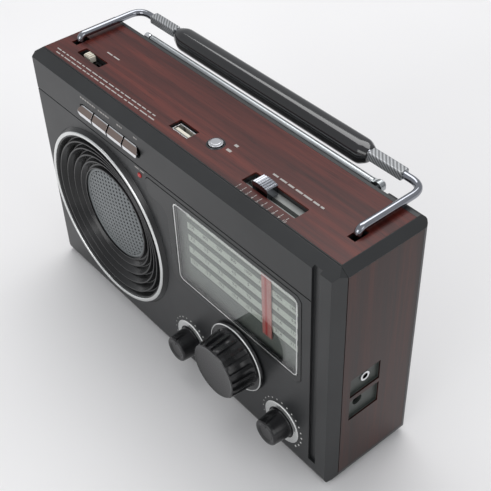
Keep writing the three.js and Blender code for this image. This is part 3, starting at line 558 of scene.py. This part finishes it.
def make_tuning_knob():
    low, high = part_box("tuning_knob")
    centre = middle_of("tuning_knob")
    face = Vector((centre.x, low[1], centre.z))
    skirt = (high[0] - low[0]) * 500
    grip = 17.3

    def fluted(radius, along, angle):
        if not mm(0.8) < along < mm(14.9) or radius < mm(15.6):
            return radius
        wave = math.cos(FLUTES * angle)
        groove = max(0.0, min(1.0, 0.5 - 2.6 * (wave - 0.2)))
        return radius - mm(1.5) * groove

    profile = [(0, 0.55), (13.6, 0.55), (15.2, 0.2), (16.0, 0.0), (16.6, 0.5), (grip - 0.3, 1.2), (grip, 3.0)]
    profile += [(grip + 0.25, 8.0), (grip + 0.6, 13.2), (grip + 0.9, 15.4)]
    profile += [(19.6, 15.6), (20.9, 15.75), (skirt - 0.3, 16.3), (skirt, 17.2), (skirt, 17.8)]
    profile += [(4, 17.8), (3, 24.6), (0, 24.6)]
    work = bmesh.new()
    lathe(work, face, INTO_CASE, in_metres(profile), FLUTES * 16, fluted)
    add_piece("tuning_dial", work, knob_black, "tuning", ["tuning_knob"], 40)

    work = bmesh.new()
    band = [(20.6, 15.72), (20.9, 15.45), (21.35, 15.75), (21.4, 16.1), (20.6, 15.72)]
    lathe(work, face, INTO_CASE, in_metres(band), 128)
    bmesh.ops.remove_doubles(work, verts=work.verts, dist=1e-6)
    add_piece("tuning_band", work, silver, "tuning")


def make_small_knob(name):
    node = f"{name}_knob"
    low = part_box(node)[0]
    centre = middle_of(node)
    face = Vector((centre.x, low[1], centre.z))
    length = (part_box(f"{name}_ring")[1][1] - low[1]) * 1000
    profile = [(0, 0.9), (4.6, 0.85), (5.4, 0.35), (6.6, 0.0), (7.5, 0.15), (8.0, 0.8), (8.15, 3.0)]
    profile += [(8.9, length - 1.6), (9.15, length - 1.0), (9.0, length - 0.95), (3, length - 0.9),
                (2.8, length + 4.3), (0, length + 4.3)]

    work = bmesh.new()
    lathe(work, face, INTO_CASE, in_metres(rounded_profile(profile, 0.3, 2)), 120)
    add_piece(f"{name}_cap", work, knob_black, name, [node], 40)

    work = bmesh.new()
    mark = face + Vector((0, mm(0.02), mm(6.0)))
    block(work, mark + Vector((-mm(0.35), 0, -mm(1.3))), mark + Vector((mm(0.35), mm(0.9), mm(1.3))))
    start = face + Vector((-mm(0.35), mm(0.6), mm(7.2)))
    block(work, start, face + Vector((mm(0.35), mm(length - 3), mm(8.75))))
    add_piece(f"{name}_mark", work, knob_black, name, (), 0)


# ---------- keys ----------

KEY_LOW, KEY_HIGH = 138.5, 145.5


def make_key(index, count):
    """A chromed key: a crease along it parts the facet facing down from the one facing up; the upward facet
    gets a darker brownish chrome, a painted reflection.
    """
    node = f"key_{index}"
    low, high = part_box(node)
    left, right = low[0] + mm(0.55), high[0] - mm(0.55)
    front, back = low[1], high[1]
    bottom, top = mm(KEY_LOW), mm(KEY_HIGH)
    reach = (top - bottom) / 2
    stations = 9

    def inset(height):
        """How far a rounded outer end draws in at a height."""
        off = (height - (bottom + reach)) / reach
        return reach * (1 - math.sqrt(max(0.0, 1 - off * off)))

    crease = bottom + reach * 0.9
    chin = bottom + mm(0.6)
    profile = [(front + mm(2.6), bottom), (front + mm(0.55), bottom + mm(0.25)), (front + mm(0.3), chin)]
    profile += [(front + mm(0.3) * (1 - t), chin + (crease - chin) * t) for t in (0.3, 0.65, 1)]
    profile += [(front + mm(2.1) * t, crease + (top - mm(0.5) - crease) * t) for t in (0.12, 0.5, 1)]
    profile += [(front + mm(2.6), top)]
    work = bmesh.new()
    rings = []
    for k in range(stations):
        share = k / (stations - 1)
        ring = []
        for depth, height in profile:
            start = left + (inset(height) if index == 1 else 0)
            end = right - (inset(height) if index == count else 0)
            ring.append(work.verts.new((start + (end - start) * share, depth, height)))
        rings.append(ring)
    for first, second in zip(rings, rings[1:]):
        for k in range(len(profile) - 1):
            work.faces.new((first[k], first[k + 1], second[k + 1], second[k]))
    work.faces.new(rings[0])
    work.faces.new(reversed(rings[-1]))
    work.faces.new([ring[0] for ring in rings] + [ring[-1] for ring in reversed(rings)])
    stem_left = low[0] + mm(3.4 if index == 1 else 1)
    stem_right = high[0] - mm(3.4 if index == count else 1)
    block(work, (stem_left, front + mm(2.4), bottom + mm(1)), (stem_right, back, top - mm(1)))
    cap = add_piece(f"key_cap_{index}", work, chrome, node, [node], 14)
    # Upward facets above the crease take the painted reflection.
    cap.data.materials.append(key_painted_reflection)
    for face in cap.data.polygons:
        if face.normal.z > 0.2 and face.center.z > crease and face.center.y < front + mm(2.3):
            face.material_index = 1


for key_index in range(1, 5):
    make_key(key_index, 4)

make_tuning_knob()
make_small_knob("tone")
make_small_knob("volume")

# ---------- handle ----------

ROD = 2.1
GRIP_SECTION_STEPS = 40


def make_handle():
    low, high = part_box("handle_rod")
    hinge = next(j for j in frame["joints"] if j["child"] == "handle")["pos_m"]
    arm = high[0] - mm(ROD)
    bar = high[1] - mm(ROD)
    level = high[2] - mm(ROD)
    end = low[1] + mm(ROD)
    bottom = hinge[2]
    corners = [
        ((-arm + mm(9.2), hinge[1], bottom), 0),
        ((-arm, hinge[1], bottom), 2.4),
        ((-arm, end, bottom), 2.4),
        ((-arm, end, level), 3.6),
        ((-arm, bar, level), 9),
    ]
    route = [(Vector(point), bend) for point, bend in corners]
    route += [(Vector((-point.x, point.y, point.z)), bend) for point, bend in reversed(route)]
    points = [route[0][0]]
    for (before, _), (here, bend), (after, _) in zip(route, route[1:], route[2:]):
        start = here + (before - here).normalized() * mm(bend)
        finish = here + (after - here).normalized() * mm(bend)
        steps = 16 if bend > 5 else 8
        points += [start * (1 - t) ** 2 + here * 2 * t * (1 - t) + finish * t ** 2
                   for t in (i / steps for i in range(steps + 1))]
    points.append(route[-1][0])
    work = bmesh.new()
    sweep(work, points, mm(ROD), 32)
    # The wire's chrome is painted dark, a painted reflection of dark surroundings.
    add_piece("handle_wire", work, chrome_painted_dark, "handle", ["handle_rod"], 50)
    make_grip(Vector((0, bar, level)))
    for side in ("left", "right"):
        make_sleeve(side)


def sweep(work, points, radius, sides):
    """A round wire along the points, closed at both ends."""
    rings = []
    normal = None
    for i, point in enumerate(points):
        ahead = points[min(i + 1, len(points) - 1)] - points[max(i - 1, 0)]
        ahead.normalize()
        if normal is None:
            normal = ahead.orthogonal()
        normal = (normal - ahead * normal.dot(ahead)).normalized()
        other = ahead.cross(normal)
        angles = [TAU * k / sides for k in range(sides)]
        rings.append([
            work.verts.new(point + radius * (math.cos(angle) * normal + math.sin(angle) * other))
            for angle in angles
        ])
    for low, high in zip(rings, rings[1:]):
        for k in range(sides):
            work.faces.new((low[k], low[(k + 1) % sides], high[(k + 1) % sides], high[k]))
    work.faces.new(reversed(rings[0]))
    work.faces.new(rings[-1])


def grip_section(part):
    """The grip's outline round the rod, in mm: a squarish round with its upper shoulders drawn down."""
    angle = TAU * part
    across, up = math.cos(angle), math.sin(angle)
    power = 0.72
    y = 6.5 * math.copysign(abs(across) ** power, across)
    z = 6.5 * math.copysign(abs(up) ** power, up)
    if up > 0:
        z *= 1 - 0.16 * abs(across) ** 2
    return y, z


def make_grip(centre):
    """Lofts the grip along the bar, drawn in to the bar at both ends."""
    low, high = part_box("handle_grip")
    half = high[0]
    middle_y = (low[1] + high[1]) / 2
    middle_z = (low[2] + high[2]) / 2
    work = bmesh.new()
    stations = [(1.0, 0.0), (1.0, 0.56), (0.992, 0.66), (0.975, 0.76), (0.95, 0.9), (0.93, 0.975), (0.9, 1.0)]
    stations += [(x, 1.0) for x in (0.6, 0.3, 0.0)]
    stations += [(-x, size) for x, size in reversed(stations[:-1])]
    rings = []
    for place, size in stations:
        ring = []
        for k in range(GRIP_SECTION_STEPS):
            y, z = grip_section(k / GRIP_SECTION_STEPS)
            lift = mm(z) * size
            drop = (1 - size) * (centre.z - middle_z)
            shift = (1 - size) * (centre.y - middle_y)
            ring.append(work.verts.new((
                place * half,
                middle_y + mm(y) * size + shift,
                middle_z + lift + drop,
            )))
        rings.append(ring)
    for first, second in zip(rings, rings[1:]):
        for k in range(GRIP_SECTION_STEPS):
            m = (k + 1) % GRIP_SECTION_STEPS
            work.faces.new((first[k], first[m], second[m], second[k]))
    bmesh.ops.remove_doubles(work, verts=work.verts, dist=1e-6)
    add_piece("grip_shell", work, gloss_black, "handle", ["handle_grip"], 40)


def make_sleeve(side):
    """A flat pad with a fine ribbed top, clamped on the bar beside the grip."""
    node = f"handle_sleeve_{side}"
    low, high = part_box(node)
    work = bmesh.new()
    block(work, low, high)
    piece = add_piece(f"bar_pad_{side}", work, pad_finish, "handle", [node], 0)
    rounding = piece.modifiers.new("rounding", "BEVEL")
    rounding.width = mm(0.9)
    rounding.segments = 4


def knurled(name):
    shader = Shader(name, (0.3, 0.31, 0.32), 0.35, 0.6)
    ribs = shader.node("ShaderNodeTexWave", wave_type="BANDS", bands_direction="DIAGONAL")
    ribs.inputs["Scale"].default_value = 260
    shader.link(shader.place(), ribs.inputs["Vector"])
    tint = shader.ramp(ribs.outputs["Fac"], [(0.2, (0.16, 0.165, 0.17)), (0.8, (0.4, 0.41, 0.42))])
    return shader.finish(tint, None, shader.bump(ribs.outputs["Fac"], 0.00008, 0.8))


pad_finish = knurled("knurled_pad")
make_handle()

# ---------- dial pointer, mode button and band knob ----------


def make_pointer():
    """A tinted strip with a red hairline down its middle, hung from a carriage."""
    low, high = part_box("dial_pointer")
    middle = (low[0] + high[0]) / 2
    half = mm(3.6)
    front = low[1]
    work = bmesh.new()
    block(work, (middle - half, front, low[2]), (middle + half, front + mm(0.7), high[2] - mm(1.4)))
    block(work, (low[0], front, high[2] - mm(3.2)), (high[0], high[1], high[2]))
    piece = add_piece("pointer_strip", work, pink_plastic, "pointer", ["dial_pointer"], 0)
    rounding = piece.modifiers.new("rounding", "BEVEL")
    rounding.width = mm(0.25)
    rounding.segments = 3
    work = bmesh.new()
    start = (middle - mm(1.1), front - mm(0.05), low[2] + mm(0.3))
    block(work, start, (middle + mm(0.5), front, high[2] - mm(3.3)))
    add_piece("pointer_hairline", work, red_plastic, "pointer", (), 0)


def make_mode_collar():
    """A dark ring let into the wood round the button."""
    centre = middle_of("mode_button")
    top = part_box("top_wood_panel")[1][2]
    reach = 3.9
    ring = [(reach + 0.35, -0.9), (reach + 0.35, 0.15), (reach + 0.55, 0.35), (reach + 1.0, 0.35),
            (reach + 1.25, 0.02), (reach + 1.25, -0.02), (reach + 0.35, -0.9)]
    work = bmesh.new()
    lathe(work, (centre.x, centre.y, top), (0, 0, 1), in_metres(ring), 64)
    bmesh.ops.remove_doubles(work, verts=work.verts, dist=1e-6)
    add_piece("mode_collar", work, gloss_black, "cabinet")


def make_band_knob():
    """A chromed block with cross ribs, standing on a slim neck."""
    low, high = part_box("band_knob")
    work = bmesh.new()
    neck = mm(155.4)
    block(work, (low[0] + mm(2.4), low[1] + mm(1.4), low[2]), (high[0] - mm(2.4), high[1] - mm(1.4), neck))
    ribs = 7
    left, right = low[0] + mm(0.3), high[0] - mm(0.3)
    steps = ribs * 6
    section = []
    for i in range(steps + 1):
        share = i / steps
        lift = mm(0.4) * (0.5 - 0.5 * math.cos(TAU * ribs * share))
        crown = mm(0.8) * (1 - (2 * share - 1) ** 2)
        section.append((left + (right - left) * share, high[2] - mm(1.2) + lift + crown))
    outline = [(left, neck - mm(0.2))] + section + [(right, neck - mm(0.2))]
    front = [work.verts.new((x, low[1], z)) for x, z in outline]
    back = [work.verts.new((x, high[1], z)) for x, z in outline]
    work.faces.new(front)
    work.faces.new(reversed(back))
    for i in range(len(outline)):
        k = (i + 1) % len(outline)
        work.faces.new((front[i], front[k], back[k], back[i]))
    # The cap's chrome is painted dark, a painted reflection of dark surroundings.
    add_piece("band_cap", work, chrome_painted_dark, "band", ["band_knob"], 30)


ALONG_CASE = (1, 0, 0)


def make_battery_pack():
    """Four wrapped cells in two rows, with bright caps at their ends."""
    low, high = (Vector(corner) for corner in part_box("battery_pack"))
    rows, per_row = 2, 2
    pitch = (high.z - low.z) / rows
    radius = min(pitch, high.y - low.y) / 2 - mm(0.15)
    length = (high.x - low.x) / per_row
    depth = high.y - radius - mm(0.1)
    wraps, caps = bmesh.new(), bmesh.new()
    for row in range(rows):
        for place in range(per_row):
            start = Vector((low.x + length * place, depth, low.z + pitch * (row + 0.5)))
            r, full = radius * 1000, length * 1000
            jacket = [(0, 1.2), (r - 1.0, 1.2), (r - 0.5, 1.0), (r, 1.5), (r, full - 3.2)]
            jacket += [(r - 0.5, full - 2.7), (r - 1.0, full - 2.9), (0, full - 2.9)]
            lathe(wraps, start, ALONG_CASE, in_metres(jacket), 40)
            foot = [(0, 0.9), (r - 1.2, 0.9), (r - 1.2, 1.3), (0, 1.3)]
            button = [(0, full - 3.0), (r - 1.4, full - 3.0), (r - 1.4, full - 2.6), (2.7, full - 2.5),
                      (2.5, full - 1.1), (0, full - 1.0)]
            lathe(caps, start, ALONG_CASE, in_metres(foot), 32)
            lathe(caps, start, ALONG_CASE, in_metres(button), 32)
    add_piece("cell_wraps", wraps, cell_wrap, "cabinet", ["battery_pack"])
    add_piece("cell_caps", caps, steel, "cabinet")


make_battery_pack()
make_pointer()
make_mode_collar()
make_band_knob()

# ---------- printing ----------

FACE_INK = 0.03


def ink_on_face(work, x, z, width, height, face):
    block(work, (x - width / 2, face - mm(FACE_INK), z - height / 2), (x + width / 2, face, z + height / 2))


def ink_on_top(work, x, y, width, depth, top):
    block(work, (x - width / 2, y - depth / 2, top), (x + width / 2, y + depth / 2, top + mm(FACE_INK)))


def face_level():
    """The level of the flat front, where the knob rings sit."""
    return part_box("tone_ring")[1][1] + mm(0.02)


def print_knob_dots(name, face):
    work = bmesh.new()
    centre = middle_of(f"{name}_ring")
    for i in range(19):
        angle = math.radians(-135 + 15 * i)
        radius = mm(15.6)
        size = mm(0.28 + 0.02 * i)
        x = centre.x + radius * math.sin(angle)
        z = centre.z + radius * math.cos(angle)
        hub = Vector((x, face - mm(FACE_INK), z))
        lathe(work, hub, INTO_CASE, [(0, 0), (size, 0), (size, mm(FACE_INK)), (0, mm(FACE_INK))], 10)
    add_piece(f"{name}_dots", work, white_ink, "cabinet", (), 0)


FACE = face_level()
for knob in ("tone", "volume"):
    print_knob_dots(knob, FACE)


def digits(text, size, place, turn):
    """Numbers as flat printed shapes: centred on place, reading along turn's first axis."""
    curve = bpy.data.curves.new("digits", "FONT")
    curve.body = text
    curve.size = size
    curve.align_x = "CENTER"
    curve.align_y = "CENTER"
    curve.extrude = mm(FACE_INK) / 2
    letters = bpy.data.objects.new("digits", curve)
    SCENE.collection.objects.link(letters)
    bpy.context.view_layer.update()
    mesh = bpy.data.meshes.new_from_object(letters)
    bpy.data.objects.remove(letters)
    mesh.transform(Matrix.Translation(place) @ turn.to_4x4())
    return mesh


FACING_FRONT = Matrix(((1, 0, 0), (0, 0, -1), (0, 1, 0)))
FACING_UP = Matrix(((1, 0, 0), (0, 1, 0), (0, 0, 1)))

DIAL_ROWS = [
    [88, 90, 92, 94, 96, 98, 100, 102, 104, 106, 108],
    [530, 600, 700, 800, 1000, 1200, 1400, 1600],
    [3.2, 3.5, 4.0, 4.5, 5.0, 5.5, 6.0, 6.8],
    [7.0, 7.1, 7.2, 9.4, 9.6, 9.8, 11.6, 11.9],
    [13.5, 13.7, 15.1, 15.4, 17.5, 17.8, 21.4, 21.8],
]


def print_dial():
    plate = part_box("dial_scale")[0][1]
    lens_low, lens_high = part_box("window_lens")
    left, right = lens_low[0] + mm(7), lens_high[0] - mm(3)
    top = lens_high[2] - mm(5.5)
    pitch = mm(8.6)
    rows = bmesh.new()
    ticks = bmesh.new()
    numbers = bmesh.new()
    for i, row in enumerate(DIAL_ROWS):
        z = top - i * pitch
        ink_on_face(rows, (left + right) / 2, z - mm(0.4), right - left, mm(4.6), plate)
        count = len(row)
        for k, value in enumerate(row):
            x = left + mm(4) + (right - left - mm(8)) * k / (count - 1)
            place = Vector((x, plate - mm(0.06), z + mm(0.3)))
            mesh = digits(f"{value:g}", mm(3.0), place, FACING_FRONT)
            numbers.from_mesh(mesh)
            bpy.data.meshes.remove(mesh)
        for k in range(4 * (count - 1) + 1):
            x = left + mm(4) + (right - left - mm(8)) * k / (4 * (count - 1))
            tall = mm(1.3) if k % 4 == 0 else mm(0.7)
            ink_on_face(ticks, x, z - mm(3.6) + tall / 2, mm(0.22), tall, plate)
        ink_on_face(ticks, (left + right) / 2, z - mm(3.6), right - left, mm(0.18), plate)
    add_piece("dial_rows", rows, dial_light, "cabinet", (), 0)
    add_piece("dial_ticks", ticks, ink_dark, "cabinet", (), 0)
    add_piece("dial_numbers", numbers, ink_dark, "cabinet", (), 0)


def print_window_border():
    """A thin bright line round the lens."""
    low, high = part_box("window_lens")
    face = low[1]
    work = bmesh.new()
    inset, width, corner = mm(0.5), mm(0.75), mm(3.2)
    rings = []
    for offset in (inset, inset + width):
        ring = []
        x0, x1 = low[0] + offset, high[0] - offset
        z0, z1 = low[2] + offset, high[2] - offset
        reach = corner - offset + inset
        for cx, cz, start in ((x1 - reach, z1 - reach, 0), (x0 + reach, z1 - reach, 90),
                              (x0 + reach, z0 + reach, 180), (x1 - reach, z0 + reach, 270)):
            for i in range(7):
                angle = math.radians(start + 15 * i)
                ring.append((cx + reach * math.cos(angle), cz + reach * math.sin(angle)))
        rings.append(ring)
    levels = (face - mm(0.05), face)
    made = [[work.verts.new((x, y, z)) for x, z in ring] for y in levels for ring in rings]
    count = len(rings[0])
    for a, b in ((0, 1), (1, 3), (3, 2), (2, 0)):
        for i in range(count):
            k = (i + 1) % count
            work.faces.new((made[a][i], made[a][k], made[b][k], made[b][i]))
    add_piece("window_border", work, silver, "cabinet", (), 0)


ink_dark = printed("dark_ink", (0.06, 0.065, 0.06))
print_dial()
print_window_border()


KEY_MARKS = ((-76, -61), (-58, -48), (-40, -35.5), (-24.5, -21.5))
KEY_MARK_Z = 150.6


def print_face_marks():
    """Plain dashes over the keys and the tuning lamp, in place of words."""
    work = bmesh.new()
    spread = random.Random(5)
    for start, end in KEY_MARKS:
        x = start
        while x < end:
            long = min(spread.uniform(0.9, 2.0), end - x + 0.3)
            ink_on_face(work, mm(x + long / 2), mm(KEY_MARK_Z), mm(long), mm(1.0), FACE)
            x += long + 0.6
    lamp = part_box("tuning_led")
    centre = (lamp[0][0] + lamp[1][0]) / 2
    for offset in (-2.2, 2.6):
        ink_on_face(work, centre + mm(offset), lamp[1][2] + mm(1.6), mm(3.6), mm(0.8), FACE)
    add_piece("face_marks", work, dull_ink, "cabinet", (), 0)


TOP_LINES = (((-118, -17.6), (-23, -16.2)), ((-115, -20.3), (-19, -18.9)))


def print_dashes(work, start, end, height, top, spread):
    """A row of dashes of word length between two points on the top."""
    run = Vector((*start, 0)) - Vector((*end, 0))
    length = run.length
    travelled = 0.0
    while travelled < length - 2:
        word = spread.uniform(2.4, 6.5)
        word = min(word, length - travelled)
        at = (travelled + word / 2) / length
        x = start[0] + (end[0] - start[0]) * at
        y = start[1] + (end[1] - start[1]) * at
        ink_on_top(work, mm(x), mm(y), mm(word), mm(height), top)
        travelled += word + spread.uniform(0.8, 1.4)


def print_top_marks():
    """Dashes in place of the lines of words printed on the wood."""
    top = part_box("top_wood_panel")[1][2]
    work = bmesh.new()
    spread = random.Random(9)
    for start, end in TOP_LINES:
        print_dashes(work, start, end, 0.75, top, spread)
    print_dashes(work, (25, -6.5), (29, -6.4), 1.6, top, spread)
    print_dashes(work, (25, -1.2), (29, -1.1), 1.6, top, spread)
    print_dashes(work, (-94, 1.2), (-82, 1.4), 0.9, top, spread)
    print_dashes(work, (56, -2.4), (92, -2.2), 1.1, top, spread)
    add_piece("top_marks", work, dull_ink, "cabinet", (), 0)


print_face_marks()
print_top_marks()


def print_top():
    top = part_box("top_wood_panel")[1][2]
    work = bmesh.new()
    low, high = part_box("band_switch")
    left, right = low[0] + mm(5), high[0] - mm(5)
    front = low[1] - mm(0.4)
    for i in range(10):
        x = left + (right - left) * i / 9
        ink_on_top(work, x, front - mm(1.2), mm(0.35), mm(1.8), top)
        place = Vector((x, front - mm(3.4), top + mm(FACE_INK) / 2))
        mesh = digits(str(i + 1), mm(2.4), place, FACING_UP)
        work.from_mesh(mesh)
        bpy.data.meshes.remove(mesh)
    add_piece("band_scale", work, dull_ink, "cabinet", (), 0)


print_top()

# ---------- floor, light and colour ----------


def make_stage():
    mesh = bpy.data.meshes.new("floor")
    work = bmesh.new()
    bmesh.ops.create_grid(work, x_segments=1, y_segments=1, size=6)
    work.to_mesh(mesh)
    work.free()
    floor = bpy.data.objects.new("floor", mesh)
    SCENE.collection.objects.link(floor)
    shader = Shader("floor_paper", (0.86, 0.85, 0.85), 0.7)
    mottle = shader.noise(shader.place(), 3, 2)
    tint = shader.ramp(mottle, [(0.3, (0.84, 0.83, 0.83)), (0.7, (0.88, 0.87, 0.87))])
    mesh.materials.append(shader.finish(tint))


def area_light(name, place, aim, size, power, colour=(1, 1, 1)):
    data = bpy.data.lights.new(name, "AREA")
    data.shape = "RECTANGLE"
    data.size, data.size_y = size
    data.energy = power
    data.color = colour
    light = bpy.data.objects.new(name, data)
    SCENE.collection.objects.link(light)
    light.location = place
    light.rotation_euler = (Vector(aim) - Vector(place)).to_track_quat("-Z", "Y").to_euler()


def make_light():
    world = bpy.data.worlds.new("studio")
    world.use_nodes = True
    world.node_tree.nodes["Background"].inputs["Color"].default_value = (0.95, 0.97, 1.0, 1)
    world.node_tree.nodes["Background"].inputs["Strength"].default_value = 0.55
    SCENE.world = world
    area_light("overhead", (-0.5, 0.5, 1.5), (0, 0, 0.1), (1.4, 1.0), 14)
    area_light("front_fill", (0.2, -1.6, 0.7), (0, 0, 0.08), (1.2, 0.8), 7)
    area_light("side_fill", (1.7, 0.1, 0.9), (0, 0, 0.08), (0.8, 1.0), 3)


make_stage()
make_light()
SCENE.view_settings.view_transform = "Standard"
SCENE.view_settings.look = "None"
SCENE.view_settings.exposure = 0.0
